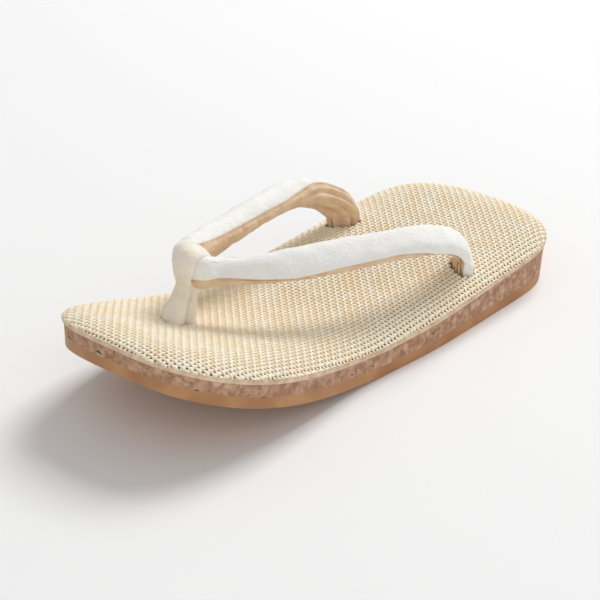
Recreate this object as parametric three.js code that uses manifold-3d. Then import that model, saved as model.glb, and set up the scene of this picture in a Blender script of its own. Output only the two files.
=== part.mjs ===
// A left zori sandal: rubber outsole, cork midsole, crowned footbed, and a stuffed cloth thong held by
// a cloth loop between the toes. Millimetres, +Z up, toe towards +Y, the wearer's inner side towards +X.
// Tables and outlines are measured from the heel's middle line; the origin is under the middle of the
// whole sandal, on the ground.
import * as THREE from "three";
import { mergeVertices } from "three/addons/utils/BufferGeometryUtils.js";
import Module from "manifold-3d";

const wasm = await Module();
wasm.setup();

// ---- driving dimensions ----
const LENGTH = 260;
const WIDTH = 102;
const TOE_SPRING = 33; // how far the toe end of the sole is bent up off the ground
const FLAT_END = 0.54; // the sole lies flat from the heel to this share of the length
const SPRING_POWER = 1.6;
const TOE_SWING = 3.5; // the toe end leans towards the inner side
const SWING_START = 0.35; // share of the length at which that lean begins
const OUTSOLE_THICK = 5.2;
const HEEL_RAKE = 3.4; // the heel wall slopes in this far from top to ground
const RAKE_END = 0.25; // share of the length over which that slope fades out
const OVERHANG = 0.8; // the cover stands out past the cork all round
const GAP = 0.3;

const CROWN = 7.2; // rise of the padded footbed above its rim
const CROWN_EDGE = 1.0; // height of the rim itself
const CROWN_ROLL = 24; // how far in from the rim the rise takes

const POST_X = 11.7; // the toe post is off centre, towards the inner side
const APEX_RUN = 0.2; // share of an arm's rows over which it turns from crosswise to lengthwise

// How finely each form is divided.
const SOLE_GRID = { across: 10, along: 44 };
const FOOTBED_GRID = { across: 14, along: 52 };
const ARM_GRID = { sides: 14, steps: 44 };
const POST_GRID = { sides: 18, steps: 12 };
const LOOP_GRID = { around: 28, across: 20 };

// The loop of cloth round the place where the arms meet: a band, seen from the side as an oval.
const LOOP = { y: 71.8, z: 55.2, long: 8.4, high: 9.9, half: 6.3, lean: 14, squareness: 0.6 };

// Half width of the plan, as a share of WIDTH / 2, at shares of the length from the heel.
const PLAN = [
  { at: 0.0, half: 0.95 },
  { at: 0.1, half: 0.972 },
  { at: 0.25, half: 0.992 },
  { at: 0.42, half: 1.0 },
  { at: 0.6, half: 0.952 },
  { at: 0.78, half: 0.995 },
  { at: 0.92, half: 0.988 },
  { at: 1.0, half: 0.96 },
];
const HEEL_END = { reach: 0.17, power: 2.7 };
const TOE_END = { reach: 0.27, power: 3.25 };

// Height from the ground side of the sole up to the rim of the footbed.
const STACK = [
  { at: 0.0, thick: 18.5 },
  { at: 0.25, thick: 15.2 },
  { at: 0.45, thick: 12.5 },
  { at: 0.75, thick: 11.1 },
  { at: 1.0, thick: 10.7 },
];

// The arms of the thong, which meet crosswise inside the loop, turn back and end down in their holes:
// the middle of the tube, how far its broad face leans over (90 stands on edge), and its width and thickness.
const INNER_ARM = [
  { x: 11.2, y: 71.9, z: 56.4, lean: 88, wide: 15.4, thick: 11 },
  { x: 16.4, y: 71, z: 56.6, lean: 84, wide: 15.4, thick: 10.8 },
  { x: 20.2, y: 65.5, z: 55.6, lean: 76, wide: 15, thick: 10.8 },
  { x: 22.8, y: 58, z: 54.2, lean: 68, wide: 14.8, thick: 11 },
  { x: 26.6, y: 47, z: 52.4, lean: 60, wide: 15, thick: 11.8 },
  { x: 31.2, y: 26, z: 51.2, lean: 50, wide: 15.2, thick: 12 },
  { x: 35.6, y: 4, z: 50, lean: 44, wide: 15.2, thick: 12 },
  { x: 39.4, y: -17, z: 48.2, lean: 40, wide: 15.2, thick: 12 },
  { x: 40.4, y: -32, z: 45.4, lean: 38, wide: 15.4, thick: 11.5 },
  { x: 38.6, y: -46, z: 39, lean: 38, wide: 16, thick: 10.5 },
  { x: 36.2, y: -55.5, z: 29.5, lean: 40, wide: 17, thick: 9.5 },
  { x: 35.7, y: -57.2, z: 18.4, lean: 40, wide: 15.5, thick: 9 },
];
const OUTER_ARM = [
  { x: 12.2, y: 71.9, z: 54.6, lean: 88, wide: 15, thick: 11 },
  { x: 7.4, y: 70.6, z: 53.8, lean: 84, wide: 14.4, thick: 10.6 },
  { x: 2.8, y: 64.4, z: 52.6, lean: 77, wide: 13.8, thick: 10.6 },
  { x: -1.8, y: 57.6, z: 51.9, lean: 68, wide: 13.6, thick: 10.6 },
  { x: -9, y: 47, z: 51.6, lean: 60, wide: 14, thick: 11 },
  { x: -18.8, y: 26, z: 51.2, lean: 50, wide: 15.2, thick: 12 },
  { x: -26.8, y: 4, z: 50, lean: 44, wide: 15.2, thick: 12 },
  { x: -33.4, y: -17, z: 48.2, lean: 40, wide: 15.2, thick: 12 },
  { x: -36.8, y: -32, z: 45.2, lean: 38, wide: 15.4, thick: 11.5 },
  { x: -37.2, y: -46, z: 38.8, lean: 38, wide: 15.5, thick: 10.5 },
  { x: -35.8, y: -55.5, z: 29.5, lean: 40, wide: 15.5, thick: 9.5 },
  { x: -35.2, y: -57.2, z: 18.4, lean: 40, wide: 14.5, thick: 9 },
];

// The toe post from inside the loop down into its hole.
const POST = [
  { y: 73, z: 50, across: 9.5, along: 9 },
  { y: 75.6, z: 44.4, across: 10, along: 10 },
  { y: 78.8, z: 37.4, across: 11.4, along: 12.6 },
  { y: 81.6, z: 31, across: 12, along: 14 },
];

// ---- helpers ----
const clamp01 = (value) => THREE.MathUtils.clamp(value, 0, 1);

// A smooth curve through one named column of a table, read at a share of the length.
function column(table, name) {
  const curve = new THREE.CubicInterpolant(
    table.map((row) => row.at),
    table.map((row) => row[name]),
    1,
  );
  return (at) => curve.evaluate(at)[0];
}
const planHalf = column(PLAN, "half");
const stackThick = column(STACK, "thick");

// How much of the full half width is left in a rounded end, at a share of its reach from the tip.
const rounded = (share, power) => (1 - (1 - clamp01(share)) ** power) ** (1 / power);

function halfWidth(at) {
  const heel = rounded(at / HEEL_END.reach, HEEL_END.power);
  const toe = rounded((1 - at) / TOE_END.reach, TOE_END.power);
  return (WIDTH / 2) * planHalf(at) * heel * toe;
}

const swing = (at) => TOE_SWING * clamp01((at - SWING_START) / (1 - SWING_START)) ** 2;
const groundSide = (at) => TOE_SPRING * clamp01((at - FLAT_END) / (1 - FLAT_END)) ** SPRING_POWER;
const rim = (at) => groundSide(at) + stackThick(at);

// The rise of the footbed above its rim: a quarter ellipse in from the sides and from both ends.
const roll = (distance) => Math.sqrt(1 - (1 - clamp01(distance / CROWN_ROLL)) ** 2);
function crown(at, across) {
  const side = halfWidth(at) * (1 - Math.abs(across));
  const end = LENGTH * Math.min(at, 1 - at);
  return CROWN_EDGE + CROWN * roll(side) * roll(end);
}

// A closed solid from a geometry: loose vertices are joined and faces without area are dropped.
function solid(geometry) {
  const bare = geometry.clone();
  bare.deleteAttribute("normal");
  bare.deleteAttribute("uv");
  const merged = mergeVertices(bare, 1e-4);
  const index = merged.index.array;
  const faces = [];
  for (let i = 0; i < index.length; i += 3) {
    const [a, b, c] = [index[i], index[i + 1], index[i + 2]];
    if (a !== b && b !== c && c !== a) faces.push(a, b, c);
  }
  return new wasm.Manifold(
    new wasm.Mesh({
      numProp: 3,
      vertProperties: merged.attributes.position.array,
      triVerts: new Uint32Array(faces),
    }),
  );
}

function geometryOf(manifold) {
  const mesh = manifold.getMesh();
  const geometry = new THREE.BufferGeometry();
  geometry.setAttribute("position", new THREE.BufferAttribute(mesh.vertProperties, 3));
  geometry.setIndex(new THREE.BufferAttribute(mesh.triVerts, 1));
  geometry.computeVertexNormals();
  return geometry;
}

// Moves every vertex of a geometry to where place puts it.
function reshape(geometry, place) {
  const points = geometry.attributes.position;
  const vertex = new THREE.Vector3();
  for (let i = 0; i < points.count; i++) {
    place(vertex.fromBufferAttribute(points, i));
    points.setXYZ(i, vertex.x, vertex.y, vertex.z);
  }
  return geometry;
}

// ---- the sole ----
// One layer of the sole: a unit box bent to the plan, between two heights that follow the length.
function layer({ inset, low, high, grid, rake }) {
  const box = new THREE.BoxGeometry(2, 1, 1, grid.across, grid.along, 1);
  const place = (v) => {
    const share = Math.sin((Math.PI / 2) * v.x); // closer together near the edges
    const at = (1 - Math.cos(Math.PI * (v.y + 0.5))) / 2;
    const y = (at - 0.5) * (LENGTH - 2 * inset);
    const here = y / LENGTH + 0.5;
    const x = swing(here) + share * halfWidth(at) * (1 - (2 * inset) / WIDTH);
    const z = v.z > 0 ? high(here, share) : low(here);
    const slope = rake * clamp01(1 - at / RAKE_END) * clamp01(1 - z / rim(here));
    v.set(x, y + slope, z);
  };
  return solid(reshape(box, place));
}

const outsole = layer({
  inset: OVERHANG,
  low: groundSide,
  high: (at) => groundSide(at) + OUTSOLE_THICK,
  grid: SOLE_GRID,
  rake: HEEL_RAKE,
});

const midsole = layer({
  inset: OVERHANG,
  low: (at) => groundSide(at) + OUTSOLE_THICK + GAP,
  high: (at) => rim(at) - GAP / 2,
  grid: SOLE_GRID,
  rake: HEEL_RAKE,
});

const footbedBlank = layer({
  inset: 0,
  low: (at) => rim(at) + GAP / 2,
  high: (at, share) => rim(at) + crown(at, share),
  grid: FOOTBED_GRID,
  rake: 0,
});

// ---- the thong ----
// A tube of oval section along a path: frame gives the two half axes of the section at a share of the run.
function tube(path, frame, grid) {
  const cylinder = new THREE.CylinderGeometry(1, 1, 1, grid.sides, grid.steps);
  const place = (v) => {
    const t = 0.5 - v.y;
    const { long, short } = frame(t);
    const [x, z] = [v.x, v.z];
    v.copy(path.getPoint(t)).addScaledVector(long, x).addScaledVector(short, z);
  };
  return solid(reshape(cylinder, place));
}

// Reads a column of a table whose rows are evenly spaced along a path.
function alongPath(table, name) {
  const rows = table.map((row, i) => ({ at: i / (table.length - 1), value: row[name] }));
  return column(rows, "value");
}

// grow makes the arm larger all round and at both ends, for the hollow it sits in.
function arm(table, outward, grow) {
  const points = table.map((row) => new THREE.Vector3(row.x, row.y, row.z));
  points[0].x -= outward * grow;
  points[table.length - 1].z -= grow;
  const path = new THREE.CatmullRomCurve3(points);
  const [lean, wide, thick] = ["lean", "wide", "thick"].map((name) => alongPath(table, name));
  const frame = (t) => {
    const run = path.getTangent(t);
    const bend = THREE.MathUtils.smoothstep(t, 0, APEX_RUN);
    const side = new THREE.Vector3(outward * bend, 1 - bend, 0);
    side.addScaledVector(run, -side.dot(run)).normalize();
    const up = run.clone().cross(side).multiplyScalar(outward);
    const angle = THREE.MathUtils.degToRad(lean(t));
    const long = side.multiplyScalar(Math.cos(angle)).addScaledVector(up, -Math.sin(angle));
    const short = run.clone().cross(long);
    long.multiplyScalar(wide(t) / 2 + grow);
    short.multiplyScalar(thick(t) / 2 + grow);
    return { long, short };
  };
  return tube(path, frame, ARM_GRID);
}
const bothArms = (grow) => arm(INNER_ARM, 1, grow).add(arm(OUTER_ARM, -1, grow));

function post(grow) {
  const end = POST.length - 1;
  const points = POST.map((row, i) => new THREE.Vector3(POST_X, row.y, i === end ? row.z - grow : row.z));
  const path = new THREE.CatmullRomCurve3(points);
  const [across, along] = ["across", "along"].map((name) => alongPath(POST, name));
  const frame = (t) => {
    const long = new THREE.Vector3(1, 0, 0);
    const short = path.getTangent(t).cross(long);
    long.multiplyScalar(across(t) / 2 + grow);
    short.multiplyScalar(along(t) / 2 + grow);
    return { long, short };
  };
  return tube(path, frame, POST_GRID);
}

// The outside of the loop: an oval pillow, flat on its two open sides, leaning back a little.
function loop() {
  const ball = new THREE.SphereGeometry(1, LOOP_GRID.around, LOOP_GRID.across);
  ball.rotateZ(Math.PI / 2); // poles on the open sides
  const place = (v) => {
    const flat = Math.sign(v.x) * Math.abs(v.x) ** LOOP.squareness;
    const ring = Math.hypot(v.y, v.z);
    const full = ring === 0 ? 0 : ring ** LOOP.squareness / ring;
    v.set(LOOP.half * flat, LOOP.long * v.y * full, LOOP.high * v.z * full);
  };
  const geometry = reshape(ball, place);
  geometry.rotateX(THREE.MathUtils.degToRad(LOOP.lean));
  geometry.translate(POST_X, LOOP.y, LOOP.z);
  return solid(geometry);
}

const strap = bothArms(0);
const toePost = loop().add(post(0)).subtract(bothArms(GAP));
const footbed = footbedBlank.subtract(bothArms(GAP)).subtract(post(GAP));

// ---- the five parts, set over the middle of the whole ----
const box = footbed.boundingBox();
const middle = (box.min[0] + box.max[0]) / 2;
const group = new THREE.Group();
function add(name, manifold, colour, roughness) {
  const material = new THREE.MeshStandardMaterial({ color: colour, roughness, metalness: 0 });
  const mesh = new THREE.Mesh(geometryOf(manifold.translate([-middle, 0, 0])), material);
  mesh.name = name;
  group.add(mesh);
}
add("outsole", outsole, 0xb28b6b, 0.6);
add("midsole", midsole, 0xaa8569, 0.85);
add("footbed", footbed, 0xe0cfb2, 0.8);
add("strap", strap, 0xeae8e3, 0.85);
add("toe_post", toePost, 0xe7e2d7, 0.85);

export default group;
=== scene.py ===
import math

import bmesh
import bpy
import numpy as np
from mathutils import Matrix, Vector


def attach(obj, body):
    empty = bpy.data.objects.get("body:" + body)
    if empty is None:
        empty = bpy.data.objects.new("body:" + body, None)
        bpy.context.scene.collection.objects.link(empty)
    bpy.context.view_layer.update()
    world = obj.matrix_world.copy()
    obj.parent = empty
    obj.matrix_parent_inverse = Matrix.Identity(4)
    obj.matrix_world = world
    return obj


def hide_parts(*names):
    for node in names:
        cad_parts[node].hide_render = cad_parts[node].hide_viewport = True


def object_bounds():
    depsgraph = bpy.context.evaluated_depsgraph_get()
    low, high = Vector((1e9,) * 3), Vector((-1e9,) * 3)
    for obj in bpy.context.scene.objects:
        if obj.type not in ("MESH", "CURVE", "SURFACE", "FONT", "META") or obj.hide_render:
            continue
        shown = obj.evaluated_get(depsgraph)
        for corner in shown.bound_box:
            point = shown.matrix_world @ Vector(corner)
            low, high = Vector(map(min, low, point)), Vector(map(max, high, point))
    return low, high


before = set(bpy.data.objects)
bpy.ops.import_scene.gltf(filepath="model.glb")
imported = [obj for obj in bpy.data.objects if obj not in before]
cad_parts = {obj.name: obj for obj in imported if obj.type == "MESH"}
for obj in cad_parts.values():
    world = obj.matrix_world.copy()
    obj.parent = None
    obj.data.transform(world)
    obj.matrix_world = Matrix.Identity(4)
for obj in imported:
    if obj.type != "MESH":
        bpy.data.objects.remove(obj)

bl_info = {
    "name": "Zori Sandal",
    "version": (1, 0, 0),
    "blender": (4, 5, 0),
    "location": "3D View > Sidebar > Zori",
    "description": "Builds a left zori sandal: rubber, cork, open woven cover and stuffed cloth thong",
    "category": "Object",
}

CAD_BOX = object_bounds()
MM = 0.001  # forms are worked out in millimetres and stored in metres
FULL_TURN = 2 * math.pi

# ---- the last: the sandal's plan and heights, in millimetres, from the heel's middle line ----
LENGTH = (CAD_BOX[1][1] - CAD_BOX[0][1]) / MM
WIDTH = 102
TOE_SPRING = 33  # how far the toe end is bent up
FLAT_END = 0.54  # share of the length, from the heel, that lies flat
SPRING_POWER = 1.6
TOE_SWING = 3.5  # the toe end leans to the inner side
SWING_START = 0.35
RUBBER_THICK = 5.2
HEEL_RAKE = 3.4  # the heel wall slopes in this far
RAKE_END = 0.25
OVERHANG = 0.8  # the cover stands out past the cork
LAYER_GAP = 0.03  # left open between one layer of the sole and the next
CROWN = 7.2  # rise of the crown, which the weave follows, above its edge
CROWN_EDGE = 1.0  # height of the crown's edge above the rim
CROWN_ROLL = 24  # the crown rises to its full height over this distance
BOARD_SUNK = 1.0  # the padded board lies this far under the crown
BOARD_EDGE = 0.4  # and stands at least this far above the rim
SOLE_GRID = {"across": 28, "along": 150}  # faces of one layer of the sole
SOLE_CREASE = math.radians(40)  # edges sharper than this stay sharp

# Half width of the plan, as a share of WIDTH / 2, at shares of the length.
PLAN = [
    {"at": 0.0, "half": 0.95},
    {"at": 0.1, "half": 0.972},
    {"at": 0.25, "half": 0.992},
    {"at": 0.42, "half": 1.0},
    {"at": 0.6, "half": 0.952},
    {"at": 0.78, "half": 0.995},
    {"at": 0.92, "half": 0.988},
    {"at": 1.0, "half": 0.96},
]

# The rounded ends of the plan: the share of the length that each takes, and how square it is.
HEEL_END = {"reach": 0.17, "power": 2.7}
TOE_END = {"reach": 0.27, "power": 3.25}

# Height from the ground side of the sole to the rim of the footbed.
STACK = [
    {"at": 0.0, "thick": 18.5},
    {"at": 0.25, "thick": 15.2},
    {"at": 0.45, "thick": 12.5},
    {"at": 0.75, "thick": 11.1},
    {"at": 1.0, "thick": 10.7},
]

# The arms of the thong, from the toe back and down into their holes: middle of the tube, lean of
# its broad face in degrees, width and thickness.
INNER_ARM = [
    {"x": 11.2, "y": 71.9, "z": 56.4, "lean": 88, "wide": 15.4, "thick": 11},
    {"x": 16.4, "y": 71, "z": 56.6, "lean": 84, "wide": 15.4, "thick": 10.8},
    {"x": 20.2, "y": 65.5, "z": 55.6, "lean": 76, "wide": 15, "thick": 10.8},
    {"x": 22.8, "y": 58, "z": 54.2, "lean": 68, "wide": 14.8, "thick": 11},
    {"x": 26.6, "y": 47, "z": 52.4, "lean": 60, "wide": 15, "thick": 11.8},
    {"x": 31.2, "y": 26, "z": 51.2, "lean": 50, "wide": 15.2, "thick": 12},
    {"x": 35.6, "y": 4, "z": 50, "lean": 44, "wide": 15.2, "thick": 12},
    {"x": 39.4, "y": -17, "z": 48.2, "lean": 40, "wide": 15.2, "thick": 12},
    {"x": 40.4, "y": -32, "z": 45.4, "lean": 38, "wide": 15.4, "thick": 11.5},
    {"x": 38.6, "y": -46, "z": 39, "lean": 38, "wide": 16, "thick": 10.5},
    {"x": 36.2, "y": -55.5, "z": 29.5, "lean": 40, "wide": 17, "thick": 9.5},
    {"x": 35.7, "y": -57.2, "z": 18.4, "lean": 40, "wide": 15.5, "thick": 9},
]
OUTER_ARM = [
    {"x": 12.2, "y": 71.9, "z": 54.6, "lean": 88, "wide": 15, "thick": 11},
    {"x": 7.4, "y": 70.6, "z": 53.8, "lean": 84, "wide": 14.4, "thick": 10.6},
    {"x": 2.8, "y": 64.4, "z": 52.6, "lean": 77, "wide": 13.8, "thick": 10.6},
    {"x": -1.8, "y": 57.6, "z": 51.9, "lean": 68, "wide": 13.6, "thick": 10.6},
    {"x": -9, "y": 47, "z": 51.6, "lean": 60, "wide": 14, "thick": 11},
    {"x": -18.8, "y": 26, "z": 51.2, "lean": 50, "wide": 15.2, "thick": 12},
    {"x": -26.8, "y": 4, "z": 50, "lean": 44, "wide": 15.2, "thick": 12},
    {"x": -33.4, "y": -17, "z": 48.2, "lean": 40, "wide": 15.2, "thick": 12},
    {"x": -36.8, "y": -32, "z": 45.2, "lean": 38, "wide": 15.4, "thick": 11.5},
    {"x": -37.2, "y": -46, "z": 38.8, "lean": 38, "wide": 15.5, "thick": 10.5},
    {"x": -35.8, "y": -55.5, "z": 29.5, "lean": 40, "wide": 15.5, "thick": 9.5},
    {"x": -35.2, "y": -57.2, "z": 18.4, "lean": 40, "wide": 14.5, "thick": 9},
]
APEX_RUN = 0.08  # share of an arm over which it turns from crosswise to lengthwise

# Where the thong goes down through the cover: ovals, each with its long axis turned from X.
POST_X = 11.7
OPENINGS = [
    {"x": 35.9, "y": -56.5, "long": 8.4, "short": 5.0, "turn": 40},
    {"x": -35.4, "y": -56.5, "long": 7.9, "short": 5.0, "turn": 140},
    {"x": POST_X, "y": 81.0, "long": 6.3, "short": 7.3, "turn": 0},
]

# The two plies of the post, from inside the loop down into the hole.
POST = [
    {"y": 73, "z": 50, "across": 8, "along": 9},
    {"y": 75.6, "z": 44.4, "across": 8.6, "along": 10},
    {"y": 78.8, "z": 37.4, "across": 10.6, "along": 12.4},
    {"y": 81.6, "z": 31, "across": 12, "along": 14},
]
PLY_PRESS = 0.3  # the two plies are pressed together by this much
PLY_POWER = 0.95
PLY_GRID = {"sides": 24, "rings": 24}

# The band of cloth round the arms: its middle, half its length and height, half its width, its
# thickness, and its lean in degrees.
LOOP = {"y": 71.8, "z": 55.2, "long": 8.4, "high": 9.9, "half": 6.3, "thick": 3, "lean": 14}
LOOP_GRID = {"around": 72, "section": 20}
LOOP_POWER = {"ring": 0.9, "across": 0.55, "out": 0.8}
LOOP_BULGE = 0.9  # the middle of the band stands out by this much
LOOP_DRAWN_IN = 0.5  # the whole band is drawn in by this much
LOOP_DIP = 2.8  # on top, the outer edge of the band lies this much lower
LOOP_RISE = 0.7  # room for the arms under the top of the band
LOOP_TAPER = 0.34  # the band is narrower by this share where it meets the post
LOOP_FRONT = {"taper": 0.1, "flat": 0.9, "aside": 0.7}  # narrower, flatter and to one side in front

# Where the seams run round an arm, in degrees from its outer face towards its lower edge, and the
# column of the tube that each stands on: white cloth first, then the lining.
ARM_SIDES = 56
ARM_RINGS = 120
SEAM_COLUMNS = [0, ARM_SIDES // 2 - 1, ARM_SIDES // 2, ARM_SIDES - 1, ARM_SIDES]
UPPER_SEAM = {"front": -122, "rear": {"inner_arm": -78, "outer_arm": -122}}
LOWER_SEAM = {"front": 58, "rear": {"inner_arm": 66, "outer_arm": 104}}
SEAM_DRIFT = {"start": 0.56, "end": 0.8}  # shares of an arm between which the seams change places
LOWER_SEAM_CLIMB = {"turn": 44, "start": 0.1, "end": 0.3}  # it stands higher at the knot by this turn
SEAM_WIDTH = 4  # degrees
SEAM_DEPTH = 1.1
SECTION_POWER = 0.76  # 1 is an ellipse, less is squarer

# Folds where the lining gathers at the rear, and faint rumples all along.
PLEATS = {"count": 5, "start": 0.58, "end": 0.84, "wander": 1.6, "waves": 5}
RUMPLES = [
    {"deep": 0.12, "waves": 9, "twist": 2},
    {"deep": 0.08, "waves": 23, "twist": -3},
]

# The cloth simulation that stuffs the arms.
CLOTH_FRAMES = 20
CLOTH_QUALITY = 6
CLOTH_SCALE = 0.1  # one unit stands for a centimetre while it runs
STUFFING = 1.0  # pressure inside
SEAM_DRAW = 0.07  # share by which the thread of a seam draws it up
CLOTH_REACH = 0.9  # no point moves further than this
HELD_END = 0.05  # share of an arm's run, at each end, that is held still

THREAD_GRID = {"sides": 6, "rings": 6}  # of one wave of a thread
HEM_INSET = 0.5  # threads end this far in from the edge, under the hem
TUCK = 0.7  # threads that stand out past the plan by less than this are drawn in under the hem
HEM_GRID = {"around": 220, "section": 10}
HEM_MIDDLE = 0.75  # the hem's middle is this far in from the edge
HEM_HALF = 0.7  # half its width
HEM_LIFT = 0.1  # it starts this high above the rim

# The stage, in metres: the camera's place, and its aim off the middle of the sandal.
LIGHTS = [
    {"name": "Key", "power": "key", "place": (0.2, -1.7, 2.1), "size": 1.2},
    {"name": "Fill", "power": "fill", "place": (-1.1, 0.9, 0.9), "size": 1.2},
]
CAMERA_PLACE = (-0.4826, 0.5699, 0.4044)
CAMERA_AIM = (0.008, 0.006, -0.018)


# ---- helpers for form ----
def column(rows, name):
    """A smooth curve through one named column of a table, read at a share of the length."""
    at = np.array([row["at"] for row in rows], float)
    value = np.array([row[name] for row in rows], float)
    secant = np.diff(value) / np.diff(at)
    slope = np.concatenate(([secant[0]], (secant[1:] + secant[:-1]) / 2, [secant[-1]]))

    def read(share):
        share = np.clip(share, at[0], at[-1])
        i = np.clip(np.searchsorted(at, share, side="right") - 1, 0, len(at) - 2)
        span = at[i + 1] - at[i]
        t = (share - at[i]) / span
        start = (2 * t**3 - 3 * t**2 + 1) * value[i] + (t**3 - 2 * t**2 + t) * span * slope[i]
        end = (3 * t**2 - 2 * t**3) * value[i + 1] + (t**3 - t**2) * span * slope[i + 1]
        return start + end

    return read


plan_half = column(PLAN, "half")
stack_thick = column(STACK, "thick")


def clamp01(value):
    return np.clip(value, 0, 1)


def smooth_step(value, start, end):
    """0 before start, 1 after end, and a smooth rise between them."""
    t = clamp01((value - start) / (end - start))
    return t * t * (3 - 2 * t)


def squarish(value, power):
    """Turns a sine or cosine of a section into that of a squarer one: 1 leaves it round."""
    return np.sign(value) * np.abs(value) ** power


def rounded(share, power):
    """How much of the full half width is left in a rounded end."""
    return (1 - (1 - clamp01(share)) ** power) ** (1 / power)


def half_width(at):
    """Half width of the plan at a share of the length."""
    heel = rounded(at / HEEL_END["reach"], HEEL_END["power"])
    toe = rounded((1 - at) / TOE_END["reach"], TOE_END["power"])
    return WIDTH / 2 * plan_half(at) * heel * toe


def swing(at):
    """How far the plan's middle line leans to the inner side."""
    return TOE_SWING * clamp01((at - SWING_START) / (1 - SWING_START)) ** 2


def ground_side(at):
    """Height of the underside."""
    return TOE_SPRING * clamp01((at - FLAT_END) / (1 - FLAT_END)) ** SPRING_POWER


def rim(at):
    """Height at which the cork ends and the footbed starts."""
    return ground_side(at) + stack_thick(at)


def roll(distance):
    """How far the crown has risen at some distance from its edge, as a share."""
    return np.sqrt(1 - (1 - clamp01(distance / CROWN_ROLL)) ** 2)


def crown(at, across):
    """Height of the crown above the rim."""
    side = half_width(at) * (1 - np.abs(across))
    end = LENGTH * np.minimum(at, 1 - at)
    return CROWN_EDGE + CROWN * roll(side) * roll(end)


def middle_of_plan():
    """How far the plan's middle is from the heel's middle line, which is where the origin stands."""
    samples = 400
    at = np.linspace(0, 1, samples)
    left = np.min(swing(at) - half_width(at))
    right = np.max(swing(at) + half_width(at))
    return (left + right) / 2


SHIFT = middle_of_plan()


def footbed_height(x, y):
    at = clamp01(y / LENGTH + 0.5)
    across = (x - swing(at)) / np.maximum(half_width(at), 1)
    return rim(at) + crown(at, np.clip(across, -1, 1))


def on_footbed(x, y, lift):
    """Sets points at a height along the footbed's own normal."""
    step = 0.5
    slope_x = (footbed_height(x + step, y) - footbed_height(x - step, y)) / (2 * step)
    slope_y = (footbed_height(x, y + step) - footbed_height(x, y - step)) / (2 * step)
    long = np.sqrt(1 + slope_x**2 + slope_y**2)
    z = footbed_height(x, y)
    return x - lift * slope_x / long, y - lift * slope_y / long, z + lift / long


# ---- helpers for meshes ----
def only(piece):
    """Makes one piece the only one selected, and the active one."""
    bpy.ops.object.select_all(action="DESELECT")
    piece.select_set(True)
    bpy.context.view_layer.objects.active = piece


def named(name):
    piece = bpy.context.object
    piece.name = name
    piece.data.name = name
    return piece


def points_of(mesh):
    points = np.empty(len(mesh.vertices) * 3)
    mesh.vertices.foreach_get("co", points)
    return points.reshape(-1, 3)


def turn_of(x, y):
    """The angle round a unit tube, from 0 to a full turn."""
    return np.mod(np.arctan2(y, x), FULL_TURN)


def reshape(piece, place):
    """Moves all vertices at once: place takes and gives arrays of x, y and z."""
    mesh = piece.data
    moved = np.stack(place(*points_of(mesh).T), axis=1)
    mesh.vertices.foreach_set("co", moved.ravel())
    mesh.update()


def to_metres(piece):
    """From millimetres off the heel's middle line to metres off the origin."""
    reshape(piece, lambda x, y, z: ((x - SHIFT) * MM, y * MM, z * MM))


def apply_modifiers(piece):
    only(piece)
    for modifier in list(piece.modifiers):
        bpy.ops.object.modifier_apply(modifier=modifier.name)


def stuff(piece, ring, held, drawn):
    """Stuffs a tube with a cloth simulation: held points stay, drawn ones are seams that pull together."""
    reshape(piece, lambda x, y, z: (x * CLOTH_SCALE, y * CLOTH_SCALE, z * CLOTH_SCALE))
    before = points_of(piece.data)
    for name, weights in (("held", held), ("drawn", drawn)):
        group = piece.vertex_groups.new(name=name)
        for index in np.flatnonzero(weights):
            group.add([int(index)], float(weights[index]), "REPLACE")
    modifier = piece.modifiers.new("Stuffing", "CLOTH")
    cloth = modifier.settings
    cloth.quality = CLOTH_QUALITY
    cloth.vertex_group_mass = "held"
    cloth.vertex_group_shrink = "drawn"
    cloth.shrink_min = 0
    cloth.shrink_max = SEAM_DRAW
    cloth.use_pressure = True
    cloth.uniform_pressure_force = STUFFING
    cloth.effector_weights.gravity = 0
    modifier.collision_settings.use_collision = False
    for frame_number in range(1, CLOTH_FRAMES + 1):
        bpy.context.scene.frame_set(frame_number)
    apply_modifiers(piece)
    before /= CLOTH_SCALE
    moved = points_of(piece.data) / CLOTH_SCALE - before
    count = np.bincount(ring)
    drift = np.stack([np.bincount(ring, moved[:, axis]) / count for axis in range(3)], axis=1)
    moved -= drift[ring]  # each ring of the tube stays round its place on the path
    far = np.linalg.norm(moved, axis=1, keepdims=True)
    moved *= np.minimum(1, CLOTH_REACH / np.maximum(far, CLOTH_REACH))
    piece.data.vertices.foreach_set("co", (before + moved).ravel())
    piece.data.update()
    piece.vertex_groups.clear()
    bpy.context.scene.frame_set(1)


def subdivide_once(piece):
    modifier = piece.modifiers.new("Fine", "SUBSURF")
    modifier.levels = 1
    modifier.render_levels = 1
    apply_modifiers(piece)


def repeat(piece, count, step, merge=False):
    modifier = piece.modifiers.new("Repeat", "ARRAY")
    modifier.count = count
    modifier.use_relative_offset = False
    modifier.use_constant_offset = True
    modifier.constant_offset_displace = step
    modifier.use_merge_vertices = merge
    apply_modifiers(piece)


def select_in_edit(piece, mode, chosen):
    """Opens edit mode with the vertices or edges selected that chosen says yes to."""
    only(piece)
    bpy.ops.object.mode_set(mode="EDIT")
    bpy.ops.mesh.select_mode(type=mode)
    bpy.ops.mesh.select_all(action="DESELECT")
    mesh = bmesh.from_edit_mesh(piece.data)
    for part in mesh.edges if mode == "EDGE" else mesh.verts:
        part.select_set(chosen(part))
    mesh.select_flush_mode()
    bmesh.update_edit_mesh(piece.data)


def add_tube(name, sides, rings, caps="NGON"):
    """A unit tube along Z, cut into rings, ready to be shaped."""
    bpy.ops.object.select_all(action="DESELECT")
    bpy.ops.mesh.primitive_cylinder_add(vertices=sides, radius=1, depth=1, end_fill_type=caps)
    tube = named(name)

    def runs_along(edge):
        return abs(edge.verts[0].co.z - edge.verts[1].co.z) > 0.5

    select_in_edit(tube, "EDGE", runs_along)
    bpy.ops.mesh.subdivide(number_cuts=rings - 1)
    bpy.ops.object.mode_set(mode="OBJECT")
    return tube


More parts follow.
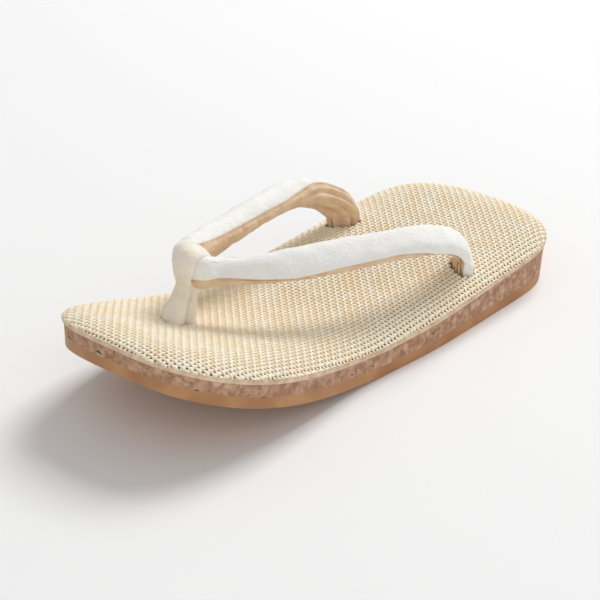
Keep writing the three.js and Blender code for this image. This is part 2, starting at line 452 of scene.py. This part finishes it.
def recalculate(piece):
    """Closes seams and points all faces outwards."""
    only(piece)
    bpy.ops.object.mode_set(mode="EDIT")
    bpy.ops.mesh.select_all(action="SELECT")
    bpy.ops.mesh.remove_doubles(threshold=0.00001)
    bpy.ops.mesh.normals_make_consistent(inside=False)
    bpy.ops.object.mode_set(mode="OBJECT")


def settle(piece, fine):
    """Puts a shaped piece in its place, closes it, makes its faces finer if asked and smooths them."""
    to_metres(piece)
    recalculate(piece)
    if fine:
        subdivide_once(piece)
    bpy.ops.object.shade_smooth()


def finish_piece(piece, slot, replaced, *materials):
    """Dresses a finished piece, ties it to the frame and hides the CAD part that it stands for."""
    for material in materials:
        piece.data.materials.append(material)
    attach(piece, "root")
    if replaced:
        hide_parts(replaced)


# ---- helpers for materials ----
def tone(red, green, blue):
    """A screen colour, 0 to 255, as the linear colour that shaders use."""
    def linear(value):
        share = value / 255
        return share / 12.92 if share <= 0.04045 else ((share + 0.055) / 1.055) ** 2.4

    return (linear(red), linear(green), linear(blue), 1)


class Value:
    """A socket of a material. Sums on it add Math nodes."""

    def __init__(self, finish, socket):
        self.finish = finish
        self.socket = socket

    def _math(self, operation, first, second):
        return self.finish.node("ShaderNodeMath", {"operation": operation}, {0: first, 1: second})

    def __add__(self, other):
        return self._math("ADD", self, other)

    def __sub__(self, other):
        return self._math("SUBTRACT", self, other)

    def __rsub__(self, other):
        return self._math("SUBTRACT", other, self)

    def __mul__(self, other):
        return self._math("MULTIPLY", self, other)

    __radd__ = __add__
    __rmul__ = __mul__


class Finish:
    """One material in the making: a Principled shader and the nodes that feed it."""

    def __init__(self, name, roughness, **constants):
        self.material = bpy.data.materials.new(name)
        self.material.use_nodes = True
        self.tree = self.material.node_tree
        self.shader = self.tree.nodes["Principled BSDF"]
        self.shader.inputs["Roughness"].default_value = roughness
        for key, value in constants.items():
            self.shader.inputs[key.replace("_", " ")].default_value = value

    def feed(self, socket, value):
        if isinstance(value, Value):
            self.tree.links.new(value.socket, socket)
        else:
            socket.default_value = value

    def node(self, kind, settings, inputs, output=0):
        made = self.tree.nodes.new(kind)
        for key, value in settings.items():
            setattr(made, key, value)
        for key, value in inputs.items():
            self.feed(made.inputs[key], value)
        return Value(self, made.outputs[output])

    def place(self):
        """The point on the piece, in metres."""
        return self.node("ShaderNodeTexCoord", {}, {}, "Object")

    def scaled(self, place, scale):
        return self.node("ShaderNodeMapping", {}, {"Vector": place, "Scale": scale})

    def noise(self, place, scale, detail=2, roughness=0.5):
        inputs = {"Vector": place, "Scale": scale, "Detail": detail, "Roughness": roughness}
        return self.node("ShaderNodeTexNoise", {}, inputs)

    def between(self, value, low, high):
        """0 where value is low, 1 where it is high."""
        inputs = {"Value": value, "From Min": low, "From Max": high}
        return self.node("ShaderNodeMapRange", {"interpolation_type": "SMOOTHSTEP"}, inputs)

    def blend(self, share, first, second):
        """A colour from first to second. The colour sockets are the inputs 6 and 7 and the output 2."""
        return self.node("ShaderNodeMix", {"data_type": "RGBA"}, {0: share, 6: first, 7: second}, 2)

    def set(self, name, value):
        self.feed(self.shader.inputs[name], value)

    def bump(self, height, distance):
        inputs = {"Height": height, "Distance": distance, "Strength": 1}
        self.set("Normal", self.node("ShaderNodeBump", {}, inputs))


def rubber_finish(sizes):
    """Amber rubber sheet: waxy, a little mottled, with faint lines where it was cut."""
    finish = Finish("outsole_rubber", 0.5)
    place = finish.place()
    mottle = finish.noise(place, scale=60, detail=3)
    cut = finish.noise(finish.scaled(place, (60, 60, 1600)), scale=1)
    light_share = finish.between(mottle, low=0.3, high=0.7)
    colour = finish.blend(light_share, sizes.rubber_dark, sizes.rubber_light)
    speck = finish.between(finish.noise(place, scale=900, detail=1), low=0.62, high=0.75)
    finish.set("Base Color", finish.blend(speck * 0.35, colour, sizes.rubber_dark))
    finish.set("Roughness", 0.42 + mottle * 0.2)
    finish.bump(cut * 0.5 + mottle * 0.3, distance=0.0002)
    return finish.material


def cork_finish(sizes):
    """Cork board: pressed grains of several tones, pale chips, and a few dark slits."""
    finish = Finish("cork", 0.85)
    place = finish.place()
    wander = finish.node("ShaderNodeTexNoise", {}, {"Vector": place, "Scale": 260, "Detail": 2}, "Color")
    strayed = {0: wander, 1: (0.003, 0.003, 0.003), 2: place}
    offset = finish.node("ShaderNodeVectorMath", {"operation": "MULTIPLY_ADD"}, strayed)
    grain = finish.noise(offset, scale=330, detail=3, roughness=0.55)
    grain = finish.between(grain, low=0.3, high=0.7)
    cells = {"Vector": offset, "Scale": 210}
    reach = finish.node("ShaderNodeTexVoronoi", {}, cells, "Distance")
    pick = finish.node("ShaderNodeTexVoronoi", {}, cells, "Color")
    pick = finish.node("ShaderNodeSeparateColor", {}, {0: pick}, "Green")
    chip = (1 - finish.between(reach, low=0.22, high=0.5)) * finish.between(pick, low=0.45, high=0.6)
    slit = finish.noise(finish.scaled(place, (1, 1, 2.6)), scale=210, detail=1)
    slit = finish.between(slit, low=0.735, high=0.765)
    pit = 1 - finish.between(finish.noise(place, scale=900, detail=1), low=0.24, high=0.32)
    colour = finish.blend(grain, sizes.cork_dark, sizes.cork_light)
    colour = finish.blend(chip * 0.7, colour, sizes.cork_chip)
    colour = finish.blend(pit * 0.5, colour, sizes.cork_slit)
    finish.set("Base Color", finish.blend(slit, colour, sizes.cork_slit))
    finish.bump(grain * 0.4 + chip * 0.3 - pit * 0.8 - slit * 1.6, distance=0.0004)
    return finish.material


def board_finish(sizes):
    """The straw-coloured padding cloth that shows between the threads."""
    finish = Finish("padding_cloth", 0.9)
    place = finish.place()
    fibre = finish.noise(place, scale=1400)
    finish.set("Base Color", finish.blend(fibre, sizes.backing_dark, sizes.backing_light))
    finish.bump(fibre, distance=0.0002)
    return finish.material


def straw_finish(sizes, name, streaks):
    """Pale thread: each one a shade of its own, with streaks along its run."""
    finish = Finish(name, 0.62, Sheen_Weight=0.12)
    place = finish.place()
    strands = finish.noise(finish.scaled(place, streaks), scale=1)
    light_share = finish.between(strands, low=0.3, high=0.72)
    colour = finish.blend(light_share, sizes.straw_dark, sizes.straw_light)
    warm_share = finish.between(finish.noise(place, scale=90), low=0.35, high=0.7) * 0.4
    finish.set("Base Color", finish.blend(warm_share, colour, sizes.straw_warm))
    finer = tuple(3 * streak for streak in streaks)
    finish.bump(finish.noise(finish.scaled(place, finer), scale=1), distance=0.00015)
    return finish.material


def hem_finish(sizes):
    """The turned edge of the cover: smooth cloth with a fine grain."""
    finish = Finish("cover_hem", 0.75)
    place = finish.place()
    mottle = finish.between(finish.noise(place, scale=240, detail=3), low=0.3, high=0.7)
    finish.set("Base Color", finish.blend(mottle, sizes.hem_dark, sizes.hem_light))
    finish.bump(finish.noise(place, scale=1800, detail=1), distance=0.0001)
    return finish.material


def cloth_finish(name, light, dark):
    """Fine crepe: a close crinkle, faint rumples with painted shade in them, and a soft sheen."""
    finish = Finish(name, 0.85, Sheen_Weight=0.25)
    place = finish.place()
    rumple = finish.noise(place, scale=130, detail=3)
    crepe = finish.noise(place, scale=1100, roughness=0.6)
    slub = finish.noise(finish.scaled(place, (900, 260, 900)), scale=1)
    # painted shade: where the cloth rumples, its colour is drawn towards the darker colour
    crease_shade_share = finish.between(rumple, low=0.35, high=0.75) * 0.6
    finish.set("Base Color", finish.blend(crease_shade_share, light, dark))
    finish.set("Roughness", 0.78 + rumple * 0.15)
    finish.bump(rumple * 0.6 + crepe * 0.9 + slub * 0.3, distance=0.0006)
    return finish.material


def floor_finish(colour, shade):
    """A plain matt floor with faint patches."""
    finish = Finish("stage_floor", 0.9)
    patches = finish.noise(finish.place(), scale=3) * 0.1
    finish.set("Base Color", finish.blend(patches, colour, shade))
    return finish.material


# ---- forms ----
def slab(name, inset, low, high, rake):
    """One layer of the sole: a grid bent to the plan and drawn up between two heights."""
    bpy.ops.object.select_all(action="DESELECT")
    bpy.ops.mesh.primitive_grid_add(
        x_subdivisions=SOLE_GRID["across"], y_subdivisions=SOLE_GRID["along"], size=2)
    piece = named(name)
    bpy.ops.object.mode_set(mode="EDIT")
    bpy.ops.mesh.select_all(action="SELECT")
    bpy.ops.mesh.extrude_region_move(TRANSFORM_OT_translate={"value": (0, 0, 1)})
    bpy.ops.object.mode_set(mode="OBJECT")

    def place(x, y, z):
        share = np.sin(math.pi / 2 * x)
        at = (1 - np.cos(math.pi * (y + 1) / 2)) / 2
        along = (at - 0.5) * (LENGTH - 2 * inset)
        here = along / LENGTH + 0.5
        wide = swing(here) + share * half_width(at) * (1 - 2 * inset / WIDTH)
        height = np.where(z > 0.5, high(here, share), low(here))
        slope = rake * clamp01(1 - at / RAKE_END) * clamp01(1 - height / rim(here))
        return wide, along + slope, height

    reshape(piece, place)
    to_metres(piece)
    recalculate(piece)
    bpy.ops.object.shade_smooth_by_angle(angle=SOLE_CREASE)
    return piece


def thread_sheet(name, sizes, flip, run_length, spread):
    """A flat sheet of wavy threads that run along Y: one thread is made, and the rest are its copies."""
    pitch = sizes.pitch / MM
    thread = add_tube(name, THREAD_GRID["sides"], THREAD_GRID["rings"], "NOTHING")
    wide = sizes.thread_width / MM / 2
    thick = sizes.thread_thickness / MM / 2
    wave = flip * thick

    def place(x, y, z):
        run = z * 2 * pitch
        return x * wide, run, y * thick + wave * np.cos(math.pi * run / pitch)

    reshape(thread, place)
    columns = math.ceil(spread / 4 / pitch)
    rows = math.ceil(run_length / 4 / pitch)
    reshape(thread, lambda x, y, z: (x - 2 * pitch * columns, y - 2 * pitch * rows, z))
    repeat(thread, 2 * rows + 1, (0, 2 * pitch, 0), merge=True)
    repeat(thread, 2, (pitch, pitch, 0))
    repeat(thread, 2 * columns + 1, (2 * pitch, 0, 0))
    return thread


def in_oval(x, y, oval):
    """True inside an oval whose long axis is turned by some degrees from X."""
    angle = math.radians(oval["turn"])
    x = x - oval["x"]
    y = y - oval["y"]
    along = x * math.cos(angle) + y * math.sin(angle)
    across = y * math.cos(angle) - x * math.sin(angle)
    return (along / oval["long"]) ** 2 + (across / oval["short"]) ** 2 < 1


def clear_of_thong(x, y):
    """True where neither an arm nor the post goes down through the cover."""
    return ~np.any([in_oval(x, y, oval) for oval in OPENINGS], axis=0)


def tucked(x, y):
    """Draws points that stand past the hem in under it."""
    y = np.clip(y, HEM_INSET - LENGTH / 2, LENGTH / 2 - HEM_INSET)
    at = y / LENGTH + 0.5
    half = half_width(at) * (1 - 2 * HEM_INSET / WIDTH)
    return np.clip(x, swing(at) - half, swing(at) + half), y


def inside_plan(x, y, margin):
    """True inside the plan drawn in by a margin."""
    at = y / LENGTH + 0.5
    half = half_width(clamp01(at)) * (1 - 2 * margin / WIDTH)
    return (np.abs(y) < LENGTH / 2 - margin) & (np.abs(x - swing(at)) < half)


def drape(sheet, sizes, turned):
    """Turns a sheet if it is the crosswise one, cuts it to the plan and lays it over the crown."""
    pitch = sizes.pitch / MM
    if turned:
        reshape(sheet, lambda x, y, z: (-y, x, z))
    x, y, _ = points_of(sheet.data).T
    if turned:  # a thread is cut square, by its middle line
        y = np.round(y / pitch) * pitch
    else:
        x = np.round(x / pitch) * pitch
    kept = inside_plan(x, y, -TUCK) & clear_of_thong(x, y)
    select_in_edit(sheet, "VERT", lambda vertex: not kept[vertex.index])
    bpy.ops.mesh.delete(type="VERT")
    bpy.ops.mesh.select_all(action="SELECT")
    bpy.ops.mesh.delete_loose(use_verts=True, use_edges=True, use_faces=False)
    bpy.ops.mesh.select_all(action="SELECT")
    bpy.ops.mesh.fill_holes(sides=THREAD_GRID["sides"])  # closes the cut ends
    bpy.ops.object.mode_set(mode="OBJECT")
    lift = sizes.thread_lift / MM
    reshape(sheet, lambda x, y, z: on_footbed(*tucked(x, y), z + lift))
    settle(sheet, fine=False)


def along_chord(rows):
    """The rows of a path, each with its share of the way along it."""
    points = np.array([[row["x"], row["y"], row["z"]] for row in rows], float)
    steps = np.linalg.norm(np.diff(points, axis=0), axis=1)
    at = np.concatenate(([0], np.cumsum(steps))) / steps.sum()
    return [{**row, "at": share} for row, share in zip(rows, at)]


def bend_on_path(tube, rows, section):
    """Bends a unit tube along a path. section gives each point's place across and out of the path."""
    rows = along_chord(rows)
    path = [column(rows, name) for name in ("x", "y", "z")]

    def place(x, y, z):
        t = 0.5 - z
        middle = np.stack([axis(t) for axis in path], axis=1)
        step = 0.004
        ahead = np.stack([axis(np.minimum(t + step, 1)) for axis in path], axis=1)
        behind = np.stack([axis(np.maximum(t - step, 0)) for axis in path], axis=1)
        run = ahead - behind
        run /= np.linalg.norm(run, axis=1, keepdims=True)
        moved = middle + section(rows, t, turn_of(x, y), np.hypot(x, y), run)
        return moved.T

    reshape(tube, place)


def seam_angles(name, place, t):
    """The angle round the section at each point, with the seams drifting towards the rear bend."""
    rear = smooth_step(t, SEAM_DRIFT["start"], SEAM_DRIFT["end"])
    upper = UPPER_SEAM["front"] + (UPPER_SEAM["rear"][name] - UPPER_SEAM["front"]) * rear
    lower = LOWER_SEAM["front"] + (LOWER_SEAM["rear"][name] - LOWER_SEAM["front"]) * rear
    climb = 1 - smooth_step(t, LOWER_SEAM_CLIMB["start"], LOWER_SEAM_CLIMB["end"])
    lower = lower - LOWER_SEAM_CLIMB["turn"] * climb
    stops = [upper, lower, lower + SEAM_WIDTH, upper + 360 - SEAM_WIDTH, upper + 360]
    angle = np.zeros_like(place)
    for i in range(len(SEAM_COLUMNS) - 1):
        start, end = SEAM_COLUMNS[i], SEAM_COLUMNS[i + 1]
        share = (place - start) / (end - start)
        here = (place >= start) & (place <= end)
        angle = np.where(here, stops[i] + share * (stops[i + 1] - stops[i]), angle)
    return np.radians(angle)


def column_at(theta):
    """The column of an arm's tube, from 0 to ARM_SIDES, at an angle round it."""
    return theta / FULL_TURN * ARM_SIDES


def pleat_folds(place, t):
    """1 on the crest of a pleat and 0 in its crease."""
    first, last = SEAM_COLUMNS[2], SEAM_COLUMNS[3]
    share = math.pi * PLEATS["count"] * (place - first) / (last - first)
    return np.abs(np.sin(share + PLEATS["wander"] * np.sin(PLEATS["waves"] * t)))


def rumples(angle, t):
    """Depth of the faint waves all along an arm."""
    return sum(row["deep"] * np.sin(row["waves"] * t * math.pi + row["twist"] * angle) for row in RUMPLES)


def arm_section(name, outward, pleats):
    """The oval section of an arm: squarish, with a sunk seam each side of the lining, and pleats."""

    def section(rows, t, theta, reach, run):
        lean, wide, thick = [column(rows, name)(t) for name in ("lean", "wide", "thick")]
        place = column_at(theta)
        angle = seam_angles(name, place, t)
        bend = smooth_step(t, 0.0, APEX_RUN)
        side = np.zeros_like(run)
        side[:, 0] = outward * bend  # out to the side along the arm, and forwards where the arms meet
        side[:, 1] = 1 - bend
        side -= run * np.sum(side * run, axis=1, keepdims=True)
        side /= np.linalg.norm(side, axis=1, keepdims=True)
        up = np.cross(run, side) * outward
        tilt = np.radians(lean)[:, None]
        edge = side * np.cos(tilt) - up * np.sin(tilt)  # towards the lower, outer edge
        face = side * np.sin(tilt) + up * np.cos(tilt)  # out of the broad face
        across = squarish(np.sin(angle), SECTION_POWER)
        out = squarish(np.cos(angle), SECTION_POWER)
        first, last = SEAM_COLUMNS[2], SEAM_COLUMNS[3]
        lining = (place > first - 0.5) & (place < last + 0.5)
        from_seam = np.minimum(np.abs(place - first), np.abs(place - last))
        sunk = np.where(lining, SEAM_DEPTH * np.exp(-from_seam), 0)
        gathered = pleats * smooth_step(t, PLEATS["start"], PLEATS["end"])
        sunk = sunk + np.where(lining, gathered * (1 - pleat_folds(place, t) ** 0.5), 0)
        shrink = 1 - (sunk + rumples(angle, t)) / (np.minimum(wide, thick) / 2)
        across = across * wide / 2 * shrink * reach
        out = out * thick / 2 * shrink * reach
        return edge * across[:, None] + face * out[:, None]

    return section


def arm(name, rows, outward, pleats):
    """One stuffed arm: its white cloth is the first material, and its lining the second."""
    tube = add_tube(name, ARM_SIDES, ARM_RINGS)
    for face in tube.data.polygons:
        place = column_at(turn_of(face.center.x, face.center.y))
        face.material_index = 1 if place > SEAM_COLUMNS[1] else 0
    x, y, z = points_of(tube.data).T
    place = np.round(column_at(turn_of(x, y))) % ARM_SIDES
    held = np.where((z > 0.5 - HELD_END) | (z < HELD_END - 0.5), 1.0, 0.0)
    drawn = np.where(np.isin(place, SEAM_COLUMNS), 1.0, 0.0)
    bend_on_path(tube, rows, arm_section(name, outward, pleats))
    ring = np.round((0.5 - z) * ARM_RINGS).astype(int)
    stuff(tube, ring, held, drawn)
    settle(tube, fine=True)
    return tube


def loop_band():
    """The band of cloth round the place where the arms meet."""
    bpy.ops.object.select_all(action="DESELECT")
    bpy.ops.mesh.primitive_torus_add(
        major_segments=LOOP_GRID["around"], minor_segments=LOOP_GRID["section"])
    band = named("toe_loop")
    lean = math.radians(LOOP["lean"])

    def place(x, y, z):
        around = np.arctan2(y, x)
        ring = np.hypot(x, y) - 1
        section = np.arctan2(z, ring)
        low = smooth_step(-np.sin(around), 0.0, 0.9)
        front = smooth_step(np.cos(around), 0.2, 1.0)
        on_top = smooth_step(np.sin(around), 0.1, 1.0)
        half = LOOP["half"] * (1 - LOOP_TAPER * low - LOOP_FRONT["taper"] * front)
        wide = half * squarish(np.sin(section), LOOP_POWER["across"])
        bulge = LOOP_BULGE * (1 - (wide / half) ** 2)
        thick = LOOP["thick"] / 2 * squarish(np.cos(section), LOOP_POWER["out"])
        reach = thick + bulge - LOOP["thick"] / 2 - LOOP_DRAWN_IN
        long = LOOP["long"] - LOOP_FRONT["flat"] * front + reach
        along = long * squarish(np.cos(around), LOOP_POWER["ring"])
        up = (LOOP["high"] + reach) * squarish(np.sin(around), LOOP_POWER["ring"])
        up += on_top * (LOOP_RISE - LOOP_DIP * (1 - wide / half) / 2)
        turned_y = along * math.cos(lean) - up * math.sin(lean)
        turned_z = along * math.sin(lean) + up * math.cos(lean)
        across = POST_X - LOOP_FRONT["aside"] * front + wide
        return across, LOOP["y"] + turned_y, LOOP["z"] + turned_z

    reshape(band, place)
    settle(band, fine=True)
    return band


def post_ply(name, side):
    """One of the two folded plies of the post: side is 1 for the front one and -1 for the back one."""
    tube = add_tube(name, PLY_GRID["sides"], PLY_GRID["rings"])
    rows = [{**row, "x": POST_X} for row in POST]

    def section(rows, t, theta, reach, run):
        across, along = [column(rows, key)(t) for key in ("across", "along")]
        wide = np.zeros_like(run)
        wide[:, 0] = 1
        back = np.cross(run, wide)
        centre = along / 4 * side
        sideways = across / 2 * squarish(np.cos(theta), PLY_POWER) * reach
        backwards = centre + (along / 4 + PLY_PRESS) * squarish(np.sin(theta), PLY_POWER) * reach
        return wide * sideways[:, None] - back * backwards[:, None]

    bend_on_path(tube, rows, section)
    settle(tube, fine=True)
    return tube


def hem_ring(sizes):
    """The smooth turned edge all round the cover."""
    bpy.ops.object.select_all(action="DESELECT")
    bpy.ops.mesh.primitive_torus_add(
        major_segments=HEM_GRID["around"], minor_segments=HEM_GRID["section"])
    ring = named("cover_hem")
    tall = sizes.hem_height / MM / 2

    def place(x, y, z):
        around = np.arctan2(y, x) + math.pi / 2
        at = (1 - np.cos(around)) / 2
        side = np.sign(np.sin(around))
        section = np.arctan2(z, np.hypot(x, y) - 1)
        inset = HEM_MIDDLE - HEM_HALF * np.cos(section)
        across = side * half_width(at) * (1 - 2 * inset / WIDTH)
        along = (at - 0.5) * (LENGTH - 2 * inset)
        here = along / LENGTH + 0.5
        height = rim(here) + HEM_LIFT + tall + tall * np.sin(section)
        return swing(here) + across, along, height

    reshape(ring, place)
    settle(ring, fine=False)
    return ring


# ---- what a user can change ----
def colour_property(name, description, red, green, blue):
    return bpy.props.FloatVectorProperty(name=name, description=description, subtype="COLOR", size=4,
                                         min=0, max=1, default=tone(red, green, blue))


def number_property(name, description, default, unit="NONE"):
    return bpy.props.FloatProperty(name=name, description=description, default=default, unit=unit)


class ZoriSizes(bpy.types.PropertyGroup):
    """Sizes and colours of the sandal."""

    pitch: number_property("Thread pitch", "Distance between threads of the cover", 0.0022, "LENGTH")
    thread_width: number_property("Thread width", "Width of a thread", 0.00152, "LENGTH")
    thread_thickness: number_property("Thread thickness", "Thickness of a thread", 0.0007, "LENGTH")
    thread_lift: number_property("Thread lift", "Lift of the weave's middle off the crown", -0.0002, "LENGTH")
    hem_height: number_property("Hem height", "Height of the turned edge of the cover", 0.0024, "LENGTH")
    pleats: number_property("Pleat depth", "Depth of the pleats where the lining gathers", 0.003, "LENGTH")
    rubber_light: colour_property("Light rubber", "Lighter tone of the outsole", 198, 144, 96)
    rubber_dark: colour_property("Dark rubber", "Darker tone of the outsole", 172, 120, 76)
    cork_light: colour_property("Light cork", "Lighter grains of the cork", 202, 162, 132)
    cork_dark: colour_property("Dark cork", "Darker grains of the cork", 164, 120, 92)
    cork_chip: colour_property("Cork chips", "Pale chips in the cork", 222, 184, 156)
    cork_slit: colour_property("Cork slits", "Dark slits in the cork", 84, 60, 46)
    backing_light: colour_property("Light padding", "Lighter tone of the padding cloth", 168, 132, 90)
    backing_dark: colour_property("Dark padding", "Darker tone of the padding cloth", 130, 96, 62)
    straw_light: colour_property("Light thread", "Lighter tone of the threads", 255, 250, 234)
    straw_dark: colour_property("Dark thread", "Darker tone of the threads", 248, 230, 198)
    straw_warm: colour_property("Warm thread", "Warm patches in the threads", 252, 226, 182)
    hem_light: colour_property("Light hem", "Lighter tone of the hem", 238, 214, 186)
    hem_dark: colour_property("Dark hem", "Darker tone of the hem", 214, 182, 150)
    cloth_light: colour_property("Light cloth", "Outer cloth of the thong", 250, 249, 245)
    # painted shade laid into the rumples of the outer cloth
    cloth_crease_shade: colour_property("Shaded cloth", "Rumpled places in the outer cloth", 240, 236, 229)
    lining_light: colour_property("Light lining", "Lining of the thong", 236, 208, 174)
    # painted shade laid into the creases of the lining
    lining_crease_shade: colour_property("Dark lining", "Creases of the lining", 196, 154, 114)
    loop_light: colour_property("Light loop", "Cloth of the toe loop", 253, 244, 229)
    # painted shade laid into the creases of the toe loop
    loop_crease_shade: colour_property("Dark loop", "Creases of the toe loop", 238, 221, 198)


class ZoriStage(bpy.types.PropertyGroup):
    """Floor, lights and camera."""

    floor_colour: colour_property("Floor", "Colour of the floor", 243, 243, 243)
    floor_shade: colour_property("Floor shade", "Faint darker patches of the floor", 232, 232, 232)
    floor_size: number_property("Floor size", "Side of the floor", 8, "LENGTH")
    sky: number_property("Sky", "Strength of the even light", 0.46)
    key: number_property("Key", "Power of the large light", 49, "POWER")
    fill: number_property("Fill", "Power of the small light", 4, "POWER")
    lens: number_property("Lens", "Focal length", 112, "CAMERA")


# ---- one operator for each piece or group of pieces ----
class ZORI_OT_outsole(bpy.types.Operator):
    """Build the rubber outsole"""

    bl_idname = "zori.outsole"
    bl_label = "Outsole"

    def execute(self, context):
        sizes = context.scene.zori_sizes

        def top(at, share):
            return ground_side(at) + RUBBER_THICK

        piece = slab("outsole_sheet", OVERHANG, ground_side, top, HEEL_RAKE)
        finish_piece(piece, "outsole_rubber", "outsole", rubber_finish(sizes))
        return {"FINISHED"}


class ZORI_OT_cork(bpy.types.Operator):
    """Build the cork body"""

    bl_idname = "zori.cork"
    bl_label = "Cork body"

    def execute(self, context):
        sizes = context.scene.zori_sizes

        def low(at):
            return ground_side(at) + RUBBER_THICK + LAYER_GAP

        def top(at, share):
            return rim(at)

        piece = slab("cork_body", OVERHANG, low, top, HEEL_RAKE)
        finish_piece(piece, "cork", "midsole", cork_finish(sizes))
        return {"FINISHED"}


class ZORI_OT_footbed(bpy.types.Operator):
    """Build the padded board and the hem round it"""

    bl_idname = "zori.footbed"
    bl_label = "Footbed"

    def execute(self, context):
        sizes = context.scene.zori_sizes

        def low(at):
            return rim(at) + LAYER_GAP

        def top(at, share):
            return rim(at) + np.maximum(crown(at, share) - BOARD_SUNK, BOARD_EDGE)

        board = slab("padded_board", OVERHANG, low, top, 0)
        finish_piece(board, "woven_cover", "footbed", board_finish(sizes))
        finish_piece(hem_ring(sizes), "woven_cover", None, hem_finish(sizes))
        return {"FINISHED"}


class ZORI_OT_weave(bpy.types.Operator):
    """Build the open weave of the cover, thread by thread"""

    bl_idname = "zori.weave"
    bl_label = "Woven cover"

    def execute(self, context):
        sizes = context.scene.zori_sizes
        along = thread_sheet("threads_lengthwise", sizes, 1, LENGTH, WIDTH + TOE_SWING)
        drape(along, sizes, turned=False)
        straw = straw_finish(sizes, "straw_lengthwise", streaks=(700, 60, 700))
        finish_piece(along, "woven_cover", None, straw)
        across = thread_sheet("threads_crosswise", sizes, -1, WIDTH + TOE_SWING, LENGTH)
        drape(across, sizes, turned=True)
        straw = straw_finish(sizes, "straw_crosswise", streaks=(60, 700, 700))
        finish_piece(across, "woven_cover", None, straw)
        return {"FINISHED"}


class ZORI_OT_thong(bpy.types.Operator):
    """Build the two stuffed arms of the thong"""

    bl_idname = "zori.thong"
    bl_label = "Thong"

    def execute(self, context):
        sizes = context.scene.zori_sizes
        outer = cloth_finish("strap_cloth", sizes.cloth_light, sizes.cloth_crease_shade)
        lining = cloth_finish("strap_lining", sizes.lining_light, sizes.lining_crease_shade)
        for name, rows, outward in (("inner_arm", INNER_ARM, 1), ("outer_arm", OUTER_ARM, -1)):
            piece = arm(name, rows, outward, sizes.pleats / MM)
            finish_piece(piece, "strap_cloth", "strap", outer, lining)
        return {"FINISHED"}


class ZORI_OT_toe_loop(bpy.types.Operator):
    """Build the cloth loop and the two plies of the toe post"""

    bl_idname = "zori.toe_loop"
    bl_label = "Toe loop"

    def execute(self, context):
        sizes = context.scene.zori_sizes
        cloth = cloth_finish("loop_cloth", sizes.loop_light, sizes.loop_crease_shade)
        front = cloth_finish("post_cloth", sizes.loop_light, sizes.loop_crease_shade)
        finish_piece(loop_band(), "loop_cloth", "toe_post", cloth)
        finish_piece(post_ply("post_front", 1), "loop_cloth", None, front)
        finish_piece(post_ply("post_back", -1), "loop_cloth", None, cloth)
        return {"FINISHED"}


def area_light(name, place, aim, size, power):
    light = bpy.data.lights.new(name, "AREA")
    light.size = size
    light.energy = power
    lamp = bpy.data.objects.new(name, light)
    lamp.location = place
    lamp.rotation_euler = (Vector(aim) - Vector(place)).to_track_quat("-Z", "Y").to_euler()
    bpy.context.scene.collection.objects.link(lamp)


class ZORI_OT_stage(bpy.types.Operator):
    """Build the floor, the lights and the camera"""

    bl_idname = "zori.stage"
    bl_label = "Stage"

    def execute(self, context):
        stage = context.scene.zori_stage
        bpy.ops.object.select_all(action="DESELECT")
        bpy.ops.mesh.primitive_plane_add(size=stage.floor_size)
        floor = named("stage_floor")
        floor.data.materials.append(floor_finish(stage.floor_colour, stage.floor_shade))
        world = bpy.data.worlds.new("Soft sky")
        world.use_nodes = True
        background = world.node_tree.nodes["Background"]
        background.inputs["Color"].default_value = (1, 1, 1, 1)
        background.inputs["Strength"].default_value = stage.sky
        context.scene.world = world
        centre = (Vector(CAD_BOX[0]) + Vector(CAD_BOX[1])) / 2
        for row in LIGHTS:
            area_light(row["name"], row["place"], centre, row["size"], getattr(stage, row["power"]))
        self.add_camera(context, centre, stage.lens)
        context.scene.view_settings.view_transform = "Standard"
        return {"FINISHED"}

    def add_camera(self, context, centre, lens):
        camera = bpy.data.cameras.new("Camera")
        camera.lens = lens
        holder = bpy.data.objects.new("Camera", camera)
        holder.location = CAMERA_PLACE
        aim = centre + Vector(CAMERA_AIM)
        holder.rotation_euler = (aim - holder.location).to_track_quat("-Z", "Y").to_euler()
        context.scene.collection.objects.link(holder)
        context.scene.camera = holder


class ZORI_PT_panel(bpy.types.Panel):
    """Lists the sandal's pieces"""

    bl_label = "Zori Sandal"
    bl_idname = "ZORI_PT_panel"
    bl_space_type = "VIEW_3D"
    bl_region_type = "UI"
    bl_category = "Zori"

    def draw(self, context):
        for operator in OPERATORS:
            self.layout.operator(operator.bl_idname)


OPERATORS = (
    ZORI_OT_outsole,
    ZORI_OT_cork,
    ZORI_OT_footbed,
    ZORI_OT_weave,
    ZORI_OT_thong,
    ZORI_OT_toe_loop,
    ZORI_OT_stage,
)
CLASSES = (ZoriSizes, ZoriStage, *OPERATORS, ZORI_PT_panel)


def register():
    for item in CLASSES:
        bpy.utils.register_class(item)
    bpy.types.Scene.zori_sizes = bpy.props.PointerProperty(type=ZoriSizes)
    bpy.types.Scene.zori_stage = bpy.props.PointerProperty(type=ZoriStage)


def unregister():
    del bpy.types.Scene.zori_sizes
    del bpy.types.Scene.zori_stage
    for item in reversed(CLASSES):
        bpy.utils.unregister_class(item)


def main():
    register()
    bpy.ops.zori.outsole()
    bpy.ops.zori.cork()
    bpy.ops.zori.footbed()
    bpy.ops.zori.weave()
    bpy.ops.zori.thong()
    bpy.ops.zori.toe_loop()
    bpy.ops.zori.stage()


if __name__ == "__main__":
    main()
